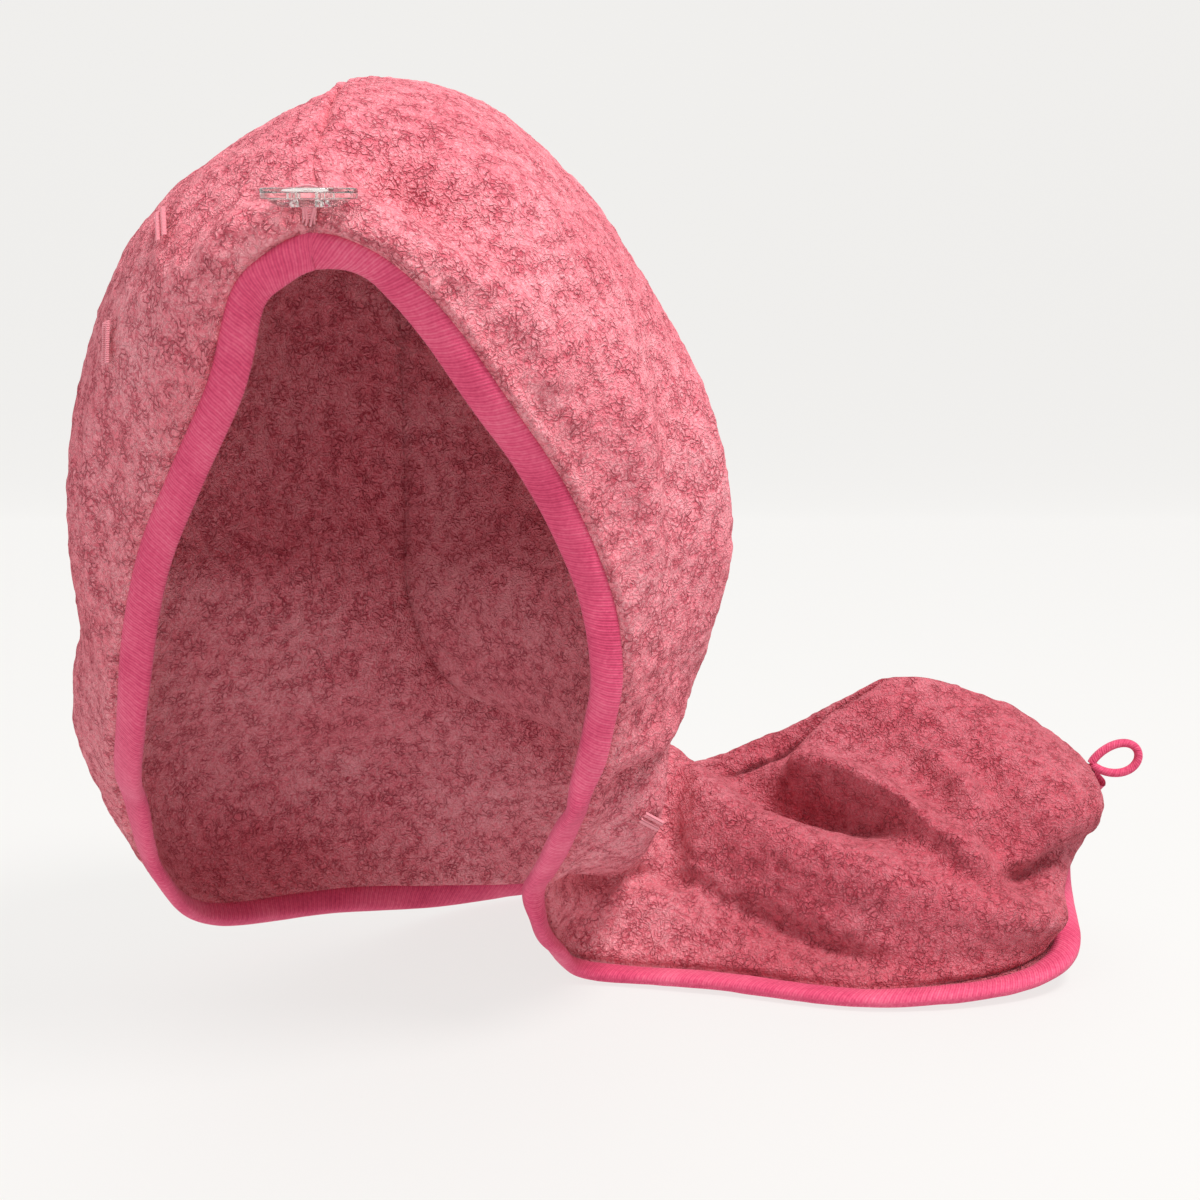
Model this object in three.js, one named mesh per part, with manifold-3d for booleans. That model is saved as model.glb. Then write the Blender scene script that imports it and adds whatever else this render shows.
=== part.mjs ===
// A hair turban towel as it is worn: two panels of plush fleece joined by one seam, which runs from the peak of
// the face opening over the crown, down the back of the head and along the ridge of the tail to its tip. A tape
// binds the whole free edge, a clear button stands on the seam above the peak, and a small loop ends the tail.
//
// Millimetres, +Z up, and the face opening looks along -Y. The origin is where the crown of the head carries the
// towel: the inside of the cloth at its highest point. The tail lies on a table that is tableDrop below it.
//
// Station numbers run along the towel: 0 is the peak, and the last one is the tip of the tail.

import * as THREE from "three";
import Module from "manifold-3d";
import { mergeVertices } from "three/addons/utils/BufferGeometryUtils.js";

// Cloth and tape
const clothWall = 3.4; // fleece with its pile
const hemWall = 2; // the same fleece pressed flat inside the tape
const hemWidth = 7.5; // how far the fleece reaches into the tape
const hemCurl = 26; // degrees that the hem turns in round the face
const tapeWidth = 9.6;
const tapeWall = 1.1;
const tapeSetBack = 1.3; // from the line where the pile ends to the edges of the tape
const fitGap = 0.5; // between the fleece and the tape around it
const seamGap = 0.5; // between the two panels
const seamTurnGap = 0.9; // more where the seam turns from the nape into the tail

// The worn hood
const hoodRight = 110; // reach from the crown line to each side
const hoodLeft = 89;
const hoodFront = 98;
const hoodBack = 104;
const hoodDrop = 260; // crown to the level of the lowest hem
const crownSetBack = 10; // the crown's place behind the origin

// The tail on the table
const tableDrop = 284; // origin down to the table
const tailReach = 244; // origin to the tip, to the right
const tailDepth = 122; // origin to the ridge, to the back
const tailRise = 96; // table to the top of the hump

// The button
const buttonDiameter = 23;
const buttonThickness = 4;
const buttonRim = 2.2;
const buttonDish = 1.2;
const buttonHole = 2;
const buttonHolePitch = 5;
const buttonLean = -6; // degrees, forward
const buttonForward = 91.4; // origin to the button's middle, to the front
const buttonDown = 38; // origin to the button's middle, down
const buttonAside = 1.5; // seam to the button's middle, to the right
const shankStation = 0.1; // where the thread leaves the seam
const shankDiameter = 4.4;
const shankWaist = 0.8; // its narrowest, as a share of that
const shankGap = 0.3; // left at both of its ends
const seamBulge = 0.7; // how far the pile stands out beside the seam there

// Buttonholes
const slitLength = 11;
const slitWidth = 1.6;

// The loop
const loopLength = 14;
const loopWidth = 14.4;
const loopTube = 3.8;
const loopFlatness = 0.8; // the tube's depth as a share of its width
const loopOpening = 38; // degrees left open on each side of the root

// How finely the cloth is made
const stepsOnHood = 3; // between two stations
const stepsOnTail = 4;
const stepsAcross = 15;

const rad = THREE.MathUtils.degToRad;
const vec = (x, y, z) => new THREE.Vector3(x, y, z);
const mix = (a, b, share) => a.clone().lerp(b, share);
const smooth = (x, from, to) => THREE.MathUtils.smoothstep(x, from, to);

// A smooth value between the rows of a table, at a place that needn't be whole.
function between(rows, column, at) {
  const last = rows.length - 1;
  const place = THREE.MathUtils.clamp(at, 0, last);
  const i = Math.min(Math.floor(place), last - 1);
  const share = place - i;
  const value = (n) => rows[THREE.MathUtils.clamp(n, 0, last)][column];
  const start = (value(i + 1) - value(i - 1)) / 2;
  const end = (value(i + 2) - value(i)) / 2;
  const jump = value(i + 1) - value(i);
  const cubic = start + end - 2 * jump;
  return value(i) + share * (start + share * (jump - start - cubic + share * cubic));
}

// The form of the hood, a row for each level from the crown down. Every column is a share: drop of hoodDrop,
// and the reach to each side of the hood's own four sizes.
const levels = [
  { drop: 0, right: 0, left: 0, front: 0, back: 0 },
  { drop: 0.018, right: 0.3, left: 0.1, front: 0.4, back: 0.34 },
  { drop: 0.075, right: 0.5, left: 0.36, front: 0.71, back: 0.62 },
  { drop: 0.17, right: 0.695, left: 0.69, front: 0.93, back: 0.82 },
  { drop: 0.31, right: 0.875, left: 0.885, front: 0.93, back: 0.95 },
  { drop: 0.46, right: 1, left: 0.983, front: 0.75, back: 1 },
  { drop: 0.615, right: 1.005, left: 0.98, front: 0.62, back: 0.98 },
  { drop: 0.77, right: 0.82, left: 0.97, front: 0.44, back: 0.9 },
  { drop: 0.9, right: 0.66, left: 0.88, front: 0.36, back: 0.82 },
  { drop: 1, right: 0.52, left: 0.74, front: 0.3, back: 0.72 },
];

// The seam, a row for each station. On the hood, level counts rows of the table above, and is negative in front
// of the crown. Further on, x, y and z are shares of tailReach, tailDepth and tailRise, z above the table.
const seamOnHood = [
  { level: -3.13 },
  { level: -2.4 },
  { level: -1.1 },
  { level: 0.5 },
  { level: 2.1 },
  { level: 3.7 },
  { level: 5.1 },
];
const seamOnTail = [
  { x: 0.005, y: 0.91, z: 1.3 },
  { x: 0.055, y: 0.96, z: 1.0 },
  { x: 0.165, y: 1, z: 0.86 },
  { x: 0.31, y: 0.985, z: 0.765 },
  { x: 0.445, y: 0.96, z: 0.69 },
  { x: 0.575, y: 0.935, z: 0.84 },
  { x: 0.72, y: 0.92, z: 1 },
  { x: 0.855, y: 0.91, z: 0.94 },
  { x: 0.95, y: 0.895, z: 0.8 },
  { x: 1, y: 0.87, z: 0.71 },
];

// Each panel's sections, a row for each station. On the hood, the stitch line along the tape is at a bearing in
// degrees from the front and at a drop that is a share of hoodDrop, and sweep says how far the section swings
// out between seam and stitch line, in levels. Further on, mid and stitch line are places as on the seam.
const rightPanel = {
  side: 1,
  reach: { name: "right", size: hoodRight },
  hood: [
    { bearing: 0, drop: 0.187, sweep: 0 },
    { bearing: 12.5, drop: 0.218, sweep: 0.15 },
    { bearing: 21.8, drop: 0.275, sweep: 0.4 },
    { bearing: 29.3, drop: 0.366, sweep: 0.8 },
    { bearing: 35.2, drop: 0.448, sweep: 1.4 },
    { bearing: 40.4, drop: 0.544, sweep: 2.1 },
    { bearing: 45, drop: 0.635, sweep: 2.9 },
  ],
  tail: [
    { midX: 0.402, midY: 0.28, midZ: 1.4, x: 0.307, y: -0.197, z: 1.094 },
    { midX: 0.37, midY: 0.36, midZ: 1.03, x: 0.287, y: -0.115, z: 0.885 },
    { midX: 0.335, midY: 0.42, midZ: 0.77, x: 0.252, y: 0.066, z: 0.62 },
    { midX: 0.335, midY: 0.6, midZ: 0.6, x: 0.213, y: 0.31, z: 0.34 },
    { midX: 0.38, midY: 0.72, midZ: 0.5, x: 0.25, y: 0.51, z: 0.075 },
    { midX: 0.51, midY: 0.7, midZ: 0.52, x: 0.45, y: 0.44, z: 0.05 },
    { midX: 0.7, midY: 0.62, midZ: 0.62, x: 0.67, y: 0.31, z: 0.05 },
    { midX: 0.86, midY: 0.64, midZ: 0.66, x: 0.85, y: 0.42, z: 0.065 },
    { midX: 0.95, midY: 0.79, midZ: 0.6, x: 0.94, y: 0.68, z: 0.31 },
    { midX: 1, midY: 0.87, midZ: 0.71, x: 1, y: 0.87, z: 0.71 },
  ],
  liesFlat: { from: 9, to: 11.6 },
};
const leftPanel = {
  side: -1,
  reach: { name: "left", size: hoodLeft },
  hood: [
    { bearing: 0, drop: 0.187, sweep: 0 },
    { bearing: 17.5, drop: 0.235, sweep: 0.15 },
    { bearing: 23, drop: 0.33, sweep: 0.4 },
    { bearing: 31.5, drop: 0.418, sweep: 0.8 },
    { bearing: 40, drop: 0.507, sweep: 1.4 },
    { bearing: 47, drop: 0.604, sweep: 2.1 },
    { bearing: 52.5, drop: 0.695, sweep: 2.9 },
  ],
  tail: [
    { midX: -0.35, midY: 0.36, midZ: 1.36, x: -0.31, y: -0.03, z: 0.92 },
    { midX: -0.36, midY: 0.5, midZ: 1.0, x: -0.322, y: 0.12, z: 0.78 },
    { midX: -0.31, midY: 0.74, midZ: 0.74, x: -0.316, y: 0.3, z: 0.48 },
    { midX: -0.19, midY: 0.95, midZ: 0.56, x: -0.267, y: 0.54, z: 0.24 },
    { midX: 0.03, midY: 1.07, midZ: 0.48, x: -0.1, y: 0.9, z: 0.17 },
    { midX: 0.27, midY: 1.12, midZ: 0.48, x: 0.14, y: 1.2, z: 0.1 },
    { midX: 0.52, midY: 1.14, midZ: 0.52, x: 0.44, y: 1.31, z: 0.06 },
    { midX: 0.74, midY: 1.12, midZ: 0.54, x: 0.73, y: 1.25, z: 0.06 },
    { midX: 0.93, midY: 1.0, midZ: 0.5, x: 0.92, y: 1.07, z: 0.26 },
    { midX: 1, midY: 0.87, midZ: 0.71, x: 1, y: 0.87, z: 0.71 },
  ],
  liesFlat: { from: 11, to: 13.3 },
};
const lastStation = seamOnHood.length + seamOnTail.length - 1;
const leavesHood = seamOnHood.length - 2; // the sections turn from the hood's form to the tail's from here
const onTail = leavesHood + 1.6;

// Folds and dents, a row for each. Each runs on the panel from one place through a second to a third, given by
// station and by the share of the way from seam to stitch line. It is width across, its crest stands height out
// from the cloth, and it hangs by sag.
const rightFolds = [
  // the puffed crown beside the seam
  { at: [2, 2.7, 3.3], across: [0.14, 0.14, 0.12], width: 20, height: 3, sag: 0 },
  // the cloth pulled up to the button, with a hollow behind it
  { at: [0.5, 1.3, 2.3], across: [0.6, 0.84, 0.82], width: 9, height: 5, sag: 0 },
  { at: [0.9, 1.3, 1.8], across: [0.45, 0.55, 0.56], width: 11, height: -7, sag: 0 },
  // the soft upright folds beside the face
  { at: [3, 4.1, 5.3], across: [0.72, 0.84, 0.92], width: 14, height: 3.5, sag: 0 },
  { at: [3.7, 4.7, 5.8], across: [0.62, 0.74, 0.8], width: 12, height: -3.5, sag: 0 },
  { at: [4.2, 5.2, 6.3], across: [0.5, 0.6, 0.66], width: 14, height: 3, sag: 0 },
  // the lobe that hangs over the start of the tail, and the crease under it
  { at: [8.3, 8.9, 9.6], across: [0.78, 0.7, 0.64], width: 15, height: 8, sag: 6 },
  { at: [9.6, 10.1, 10.7], across: [0.76, 0.68, 0.58], width: 10, height: -7, sag: 0 },
  // the tail's long roll, the pocket above it, its second roll, the valley and the hump that overhangs the edge
  { at: [10.8, 12.2, 13.9], across: [0.3, 0.66, 0.82], width: 15, height: 10, sag: 2 },
  { at: [11.7, 12.4, 13], across: [0.33, 0.46, 0.5], width: 12, height: -13, sag: 0 },
  { at: [12.1, 13.15, 14.2], across: [0.2, 0.52, 0.78], width: 11, height: 8, sag: 0 },
  { at: [13.5, 13.75, 13.8], across: [0.3, 0.45, 0.6], width: 11, height: -10, sag: 0 },
  { at: [14, 14.6, 15.2], across: [0.7, 0.58, 0.45], width: 15, height: 9, sag: 2 },
];
const leftFolds = [
  // the flatter crown beside the seam
  { at: [2.1, 3, 3.7], across: [0.14, 0.16, 0.14], width: 20, height: -4, sag: 0 },
  // the cloth pulled up to the button
  { at: [0.5, 1.1, 1.9], across: [0.6, 0.76, 0.78], width: 8, height: 3.5, sag: 0 },
  // the upright fold beside the face
  { at: [4.4, 5.4, 6.3], across: [0.8, 0.82, 0.85], width: 12, height: 3, sag: 0 },
];

// The level of the hood's table at which it has dropped by a share of hoodDrop.
function levelAtDrop(drop) {
  let low = 0;
  let high = levels.length - 1;
  for (let halving = 0; halving < 40; halving++) {
    const middle = (low + high) / 2;
    if (between(levels, "drop", middle) < drop) low = middle;
    else high = middle;
  }
  return low;
}

// A place on the hood's form. Across and along are its map: levels counted from the crown to the side and back.
function hoodPoint(panel, across, along) {
  const level = Math.hypot(across, along);
  const sine = level ? across / level : 0;
  const cosine = level ? along / level : 1;
  const reach = panel.reach.size * between(levels, panel.reach.name, level);
  const front = hoodFront * between(levels, "front", level);
  const back = hoodBack * between(levels, "back", level);
  return vec(
    panel.side * reach * sine,
    crownSetBack + (cosine < 0 ? front : back) * cosine,
    clothWall - hoodDrop * between(levels, "drop", level),
  );
}

function hoodSection(panel, station, share) {
  const level = levelAtDrop(between(panel.hood, "drop", station));
  const bearing = rad(between(panel.hood, "bearing", station));
  const seamAlong = between(seamOnHood, "level", station);
  const edgeAcross = level * Math.sin(bearing);
  const edgeAlong = -level * Math.cos(bearing);
  const across = edgeAcross;
  const along = edgeAlong - seamAlong;
  const length = Math.hypot(across, along) || 1;
  const swing = 4 * share * (1 - share) * between(panel.hood, "sweep", station);
  return hoodPoint(
    panel,
    share * across - (swing * along) / length,
    seamAlong + share * along + (swing * across) / length,
  );
}

const tailPoint = (x, y, z) => vec(x * tailReach, y * tailDepth, z * tailRise - tableDrop);

// The three places that carry each section: seam, middle and stitch line.
function carriers(panel) {
  const rows = [];
  seamOnHood.forEach((row, station) => {
    rows.push([0, 0.5, 1].map((share) => hoodSection(panel, station, share)));
  });
  seamOnTail.forEach((row, i) => {
    const { midX, midY, midZ, x, y, z } = panel.tail[i];
    rows.push([tailPoint(row.x, row.y, row.z), tailPoint(midX, midY, midZ), tailPoint(x, y, z)]);
  });
  return rows.map(([seam, middle, edge]) => ({
    seamX: seam.x,
    seamY: seam.y,
    seamZ: seam.z,
    midX: middle.x,
    midY: middle.y,
    midZ: middle.z,
    edgeX: edge.x,
    edgeY: edge.y,
    edgeZ: edge.z,
  }));
}
for (const panel of [rightPanel, leftPanel]) panel.carriers = carriers(panel);

function carrier(panel, name, station) {
  return vec(
    ...["X", "Y", "Z"].map((axis) => between(panel.carriers, name + axis, station)),
  );
}

// The smooth cloth of a panel, before its folds.
function smoothCloth(panel, station, share) {
  const seam = carrier(panel, "seam", station);
  const middle = carrier(panel, "mid", station);
  const edge = carrier(panel, "edge", station);
  const tail = seam
    .multiplyScalar((1 - share) * (1 - 2 * share))
    .addScaledVector(middle, 4 * share * (1 - share))
    .addScaledVector(edge, share * (2 * share - 1));
  if (station >= onTail) return tail;
  const hood = hoodSection(panel, Math.min(station, seamOnHood.length - 1), share);
  return mix(hood, tail, smooth(station, leavesHood, onTail));
}

// The outward normal of a surface that is a function of station and share.
function normalOf(panel, surface, station, share) {
  const along = 0.12;
  const across = 0.03;
  const at = THREE.MathUtils.clamp(station, 0.2, lastStation - 0.2);
  const on = THREE.MathUtils.clamp(share, across, 1 - across);
  const forward = surface(at + along, on).sub(surface(at - along, on));
  const sideways = surface(at, on + across).sub(surface(at, on - across));
  return sideways.cross(forward).multiplyScalar(panel.side).normalize();
}

// Each fold's crest as places in space, fading out towards both of its ends.
const foldSteps = 12;
function placeFolds(panel, folds) {
  return folds.map((fold) => {
    const line = [];
    for (let i = 0; i <= foldSteps; i++) {
      const share = i / foldSteps;
      const weights = [(1 - share) * (1 - 2 * share), 4 * share * (1 - share), share * (2 * share - 1)];
      const along = (three) => three.reduce((sum, value, n) => sum + value * weights[n], 0);
      line.push({
        place: smoothCloth(panel, along(fold.at), along(fold.across)),
        strength: Math.sin(Math.PI * (0.12 + 0.76 * share)),
      });
    }
    return { ...fold, line };
  });
}
rightPanel.folds = placeFolds(rightPanel, rightFolds);
leftPanel.folds = placeFolds(leftPanel, leftFolds);

// How strongly a fold acts at a place, from 0 to 1.
function foldStrength(fold, place) {
  let strongest = 0;
  for (let i = 1; i < fold.line.length; i++) {
    const from = fold.line[i - 1];
    const step = fold.line[i].place.clone().sub(from.place);
    const offset = place.clone().sub(from.place);
    const share = THREE.MathUtils.clamp(offset.dot(step) / Math.max(step.lengthSq(), 1e-6), 0, 1);
    const distance = offset.addScaledVector(step, -share).length() / fold.width;
    const strength = THREE.MathUtils.lerp(from.strength, fold.line[i].strength, share);
    strongest = Math.max(strongest, strength * Math.exp(-distance * distance));
  }
  return strongest;
}

// The cloth's outer face with its folds, which fade towards the seam, the peak and the tip.
function cloth(panel, station, share) {
  const place = smoothCloth(panel, station, share);
  const normal = normalOf(panel, (k, t) => smoothCloth(panel, k, t), station, share);
  const moved = place.clone();
  const fade = smooth(station, 0, 0.6) * (1 - smooth(station, lastStation - 1.4, lastStation - 0.4));
  for (const fold of panel.folds) {
    const strength = fade * smooth(share, 0, 0.1) * foldStrength(fold, place);
    if (strength < 0.01) continue;
    moved.addScaledVector(normal, strength * fold.height);
    moved.z -= strength * fold.sag;
  }
  return moved;
}

// The direction across the seam, towards the right panel.
function acrossSeam(station) {
  const at = THREE.MathUtils.clamp(station, 0.1, lastStation - 0.1);
  const tangent = carrier(rightPanel, "seam", at + 0.1).sub(carrier(rightPanel, "seam", at - 0.1));
  const onHood = vec(0, -tangent.z, tangent.y).normalize();
  const up = mix(onHood, vec(0, 0, 1), smooth(station, leavesHood, leavesHood + 3));
  return tangent.cross(up).normalize();
}

const gapAt = (station) => seamGap + seamTurnGap * smooth(station, 5.5, 7) * (1 - smooth(station, 8.2, 9.5));

// One station of a panel: the outer and inner places from the seam to the stitch line, and the hem's frame.
// The pile is pressed down at the tape, the hem curls in round the face, and it lies flat on the table.
function sectionOf(panel, station) {
  const atEnd = station === 0 || station === lastStation;
  const lateral = acrossSeam(station).multiplyScalar(panel.side);
  const seam = carrier(panel, "seam", station).addScaledVector(lateral, gapAt(station) / 2);
  const surface = (k, t) => cloth(panel, k, t);
  const nearSeam = station > lastStation - 1 ? stepsAcross : stepsAcross / 3;
  const outer = [];
  const inner = [];
  for (let i = 0; i < stepsAcross; i++) {
    const share = i / stepsAcross;
    const place = surface(station, share).addScaledVector(lateral, gapAt(station) / 2);
    const normal = normalOf(panel, surface, station, share);
    if (i === 0 || atEnd) normal.addScaledVector(lateral, -normal.dot(lateral)).normalize();
    const under = place.clone().addScaledVector(normal, -clothWall);
    for (const point of [place, under]) {
      const short = (i ? 0.4 : 0) - point.clone().sub(seam).dot(lateral);
      if (short > 0 && i < nearSeam) point.addScaledVector(lateral, short);
    }
    outer.push(place);
    inner.push(under);
  }
  const before = Math.max(station - 0.1, 0);
  const after = Math.min(station + 0.1, lastStation);
  const tangent = surface(after, 1).sub(surface(before, 1)).normalize();
  if (atEnd) tangent.copy(lateral).multiplyScalar(station === 0 ? 1 : -1);
  const normal = normalOf(panel, surface, station, 1);
  normal.addScaledVector(tangent, -normal.dot(tangent)).normalize();
  const outward = tangent.clone().cross(normal).multiplyScalar(panel.side);
  if (station === lastStation) {
    outward.copy(carrier(panel, "seam", station)).sub(carrier(panel, "seam", station - 0.3)).normalize();
    normal.copy(outward).cross(tangent).multiplyScalar(panel.side);
  }
  const curl = rad(hemCurl) * smooth(station, 0, 1.5) * (1 - smooth(station, 6, 9));
  outward.addScaledVector(normal, -Math.tan(curl));
  const level = tangent.clone().cross(vec(0, 0, 1)).multiplyScalar(panel.side).normalize();
  const { from, to } = panel.liesFlat;
  outward.lerp(level, smooth(station, from, to) * (1 - 0.6 * smooth(station, 14, 15.4)));
  outward.addScaledVector(tangent, -outward.dot(tangent)).normalize();
  normal.copy(outward).cross(tangent).multiplyScalar(panel.side);
  const stitch = surface(station, 1)
    .addScaledVector(lateral, (seamGap / 2) * (atEnd ? 1 : 0))
    .addScaledVector(normal, -clothWall / 2);
  outer.push(stitch.clone().addScaledVector(normal, hemWall / 2));
  inner.push(stitch.clone().addScaledVector(normal, -hemWall / 2));
  return { outer, inner, normal, outward, stitch };
}

function stationsOf(panel) {
  const stations = [];
  for (let station = 0; station < lastStation; station++) {
    const steps = station < leavesHood ? stepsOnHood : stepsOnTail;
    for (let i = 0; i < steps; i++) stations.push(sectionOf(panel, station + i / steps));
  }
  stations.push(sectionOf(panel, lastStation));
  return stations;
}

// A closed mesh from a list of rings that are each closed on themselves. If round is set the last ring meets the
// first, and otherwise both ends are capped. A four-sided face is split by one diagonal or, crossed, the other.
function ringMesh(rings, round = false, crossed = () => false) {
  const count = rings[0].length;
  const faces = [];
  const steps = round ? rings.length : rings.length - 1;
  for (let r = 0; r < steps; r++) {
    const here = r * count;
    const next = ((r + 1) % rings.length) * count;
    for (let i = 0; i < count; i++) {
      const j = (i + 1) % count;
      if (crossed(rings[r], rings[(r + 1) % rings.length], i, j)) {
        faces.push([here + i, next + i, here + j], [here + j, next + i, next + j]);
      } else {
        faces.push([here + i, next + j, here + j], [here + i, next + i, next + j]);
      }
    }
  }
  if (!round) {
    const last = (rings.length - 1) * count;
    for (let i = 1; i < count - 1; i++) {
      faces.push([0, i, i + 1], [last, last + i + 1, last + i]);
    }
  }
  return meshOf(rings.flat(), faces);
}

// A geometry from places and faces. Places that coincide become one, and faces that collapse are dropped.
function meshOf(places, faces) {
  const geometry = new THREE.BufferGeometry();
  geometry.setAttribute("position", new THREE.Float32BufferAttribute(places.flatMap((p) => p.toArray()), 3));
  geometry.setIndex(faces.flat());
  const merged = mergeVertices(geometry, 1e-3);
  const index = [];
  const old = merged.index.array;
  for (let i = 0; i < old.length; i += 3) {
    const [a, b, c] = [old[i], old[i + 1], old[i + 2]];
    if (a !== b && b !== c && c !== a) index.push(a, b, c);
  }
  merged.setIndex(index);
  return merged;
}

// A panel is a ring of places at each station: out along the outer face and the hem, and back along the inner.
function panelMesh(panel, stations) {
  const rings = stations.map(({ outer, inner, normal, outward, stitch }) => {
    const hem = (out, side) =>
      stitch
        .clone()
        .addScaledVector(outward, out)
        .addScaledVector(normal, (side * hemWall) / 2);
    const upper = [hem(tapeSetBack, 1), hem(hemWidth, 1)];
    const lower = [hem(hemWidth, -1), hem(tapeSetBack, -1)];
    const ring = [...outer, ...upper, ...lower, ...inner.slice().reverse()];
    return panel.side > 0 ? ring.reverse() : ring;
  });
  const isHem = (i) => i >= stepsAcross && i < stepsAcross + 5;
  const crossed = (here, next, i, j) =>
    !isHem(i) && here[j].distanceToSquared(next[i]) < here[i].distanceToSquared(next[j]);
  return ringMesh(rings, false, crossed);
}

// The tape is folded round the hem. Its section is a U, given as places out from the stitch line and up from it.
function tapeSection() {
  const inside = hemWall / 2 + fitGap;
  const outside = inside + tapeWall;
  const slotEnd = hemWidth + fitGap;
  const start = tapeSetBack;
  const roundFrom = tapeWidth - outside * 0.7;
  return [
    [start, outside],
    [roundFrom, outside],
    [tapeWidth, outside * 0.45],
    [tapeWidth, -outside * 0.45],
    [roundFrom, -outside],
    [start, -outside],
    [start, -inside],
    [slotEnd, -inside],
    [slotEnd, inside],
    [start, inside],
  ].reverse();
}

function tapeMesh(rightStations, leftStations) {
  const section = tapeSection();
  const along = [...rightStations, ...leftStations.slice().reverse()];
  const rings = along.map(({ normal, outward, stitch }) =>
    section
      .map(([out, up]) => stitch.clone().addScaledVector(outward, out).addScaledVector(normal, up)),
  );
  return ringMesh(rings, true, () => true);
}

const wasm = await Module();
wasm.setup();

function solidOf(geometry) {
  const bare = new THREE.BufferGeometry();
  bare.setAttribute("position", geometry.getAttribute("position"));
  if (geometry.index) bare.setIndex(geometry.index);
  const merged = mergeVertices(bare, 1e-3);
  return new wasm.Manifold(
    new wasm.Mesh({
      numProp: 3,
      vertProperties: merged.attributes.position.array,
      triVerts: new Uint32Array(merged.index.array),
    }),
  );
}

function geometryOf(solid) {
  const { vertProperties, triVerts } = solid.getMesh();
  const geometry = new THREE.BufferGeometry();
  geometry.setAttribute("position", new THREE.BufferAttribute(new Float32Array(vertProperties), 3));
  geometry.setIndex(new THREE.BufferAttribute(new Uint32Array(triVerts), 1));
  return geometry.toNonIndexed();
}

// A buttonhole is cut through the cloth by a long round-ended cutter.
function slitCutter(panel, { station, across, turn }) {
  const half = (slitLength - slitWidth) / 2;
  const shape = new THREE.Shape();
  shape.absarc(half, 0, slitWidth / 2, -Math.PI / 2, Math.PI / 2, false);
  shape.absarc(-half, 0, slitWidth / 2, Math.PI / 2, (3 * Math.PI) / 2, false);
  const depth = clothWall * 5;
  const cutter = new THREE.ExtrudeGeometry(shape, { depth, bevelEnabled: false, curveSegments: 4 });
  cutter.translate(0, 0, -depth / 2);
  const place = cloth(panel, station, across);
  const normal = normalOf(panel, (k, t) => cloth(panel, k, t), station, across);
  const down = vec(0, 0, -1).addScaledVector(normal, normal.z).normalize();
  const sideways = normal.clone().cross(down);
  cutter.rotateZ(rad(turn));
  cutter.applyMatrix4(new THREE.Matrix4().makeBasis(down, sideways, normal).setPosition(place));
  return cutter;
}

const rightSlits = [{ station: 9.6, across: 0.56, turn: 60 }];
const leftSlits = [
  { station: 2.7, across: 0.65, turn: 40 },
  { station: 3.3, across: 0.8, turn: 12 },
];

function cutPanel(panel, stations, slits) {
  return slits.reduce(
    (solid, slit) => solid.subtract(solidOf(slitCutter(panel, slit))),
    solidOf(panelMesh(panel, stations)),
  );
}

// The button is a shallow dish with a rim and four holes.
function buttonGeometry() {
  const radius = buttonDiameter / 2;
  const inner = radius - buttonRim;
  const profile = [
    [0, -buttonThickness / 2],
    [radius * 0.55, -buttonThickness / 2],
    [radius - 0.3, -buttonThickness * 0.05],
    [radius, buttonThickness * 0.2],
    [radius - 0.4, buttonThickness / 2],
    [inner + 0.4, buttonThickness / 2],
    [inner, buttonThickness / 2 - 0.4],
    [inner - 0.6, buttonThickness / 2 - buttonDish],
    [0, buttonThickness / 2 - buttonDish],
  ];
  const disc = new THREE.LatheGeometry(
    profile.map(([r, h]) => new THREE.Vector2(r, h)),
    28,
  );
  let solid = solidOf(disc);
  for (const [x, y] of [[1, 1], [1, -1], [-1, 1], [-1, -1]]) {
    const hole = new THREE.CylinderGeometry(buttonHole / 2, buttonHole / 2, buttonThickness * 2, 8);
    hole.translate((x * buttonHolePitch) / 2, 0, (y * buttonHolePitch) / 2);
    solid = solid.subtract(solidOf(hole));
  }
  return geometryOf(solid).rotateX(Math.PI / 2);
}

// The thread between the cloth and the button: a short shank that leaves the cloth squarely, bends and ends flat
// under the button. Foot and head are its two ends, each with the way out of the end.
function shankGeometry(foot, head) {
  const steps = 4;
  const around = 12;
  const bend = foot.place.distanceTo(head.place) / 2;
  const path = new THREE.CubicBezierCurve3(
    foot.place,
    foot.place.clone().addScaledVector(foot.out, bend),
    head.place.clone().addScaledVector(head.out, bend),
    head.place,
  );
  const sideways = vec(1, 0, 0);
  const rings = [];
  for (let i = 0; i <= steps; i++) {
    const share = i / steps;
    const middle = path.getPoint(share);
    const forward = path.getTangent(share);
    const upright = sideways.clone().cross(forward).normalize();
    const radius = (shankDiameter / 2) * (1 - (1 - shankWaist) * Math.sin(Math.PI * share));
    const ring = [];
    for (let j = 0; j < around; j++) {
      const angle = (2 * Math.PI * j) / around;
      ring.push(
        middle
          .clone()
          .addScaledVector(sideways, radius * Math.cos(angle))
          .addScaledVector(upright, radius * Math.sin(angle)),
      );
    }
    rings.push(ring);
  }
  return ringMesh(rings);
}

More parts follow.
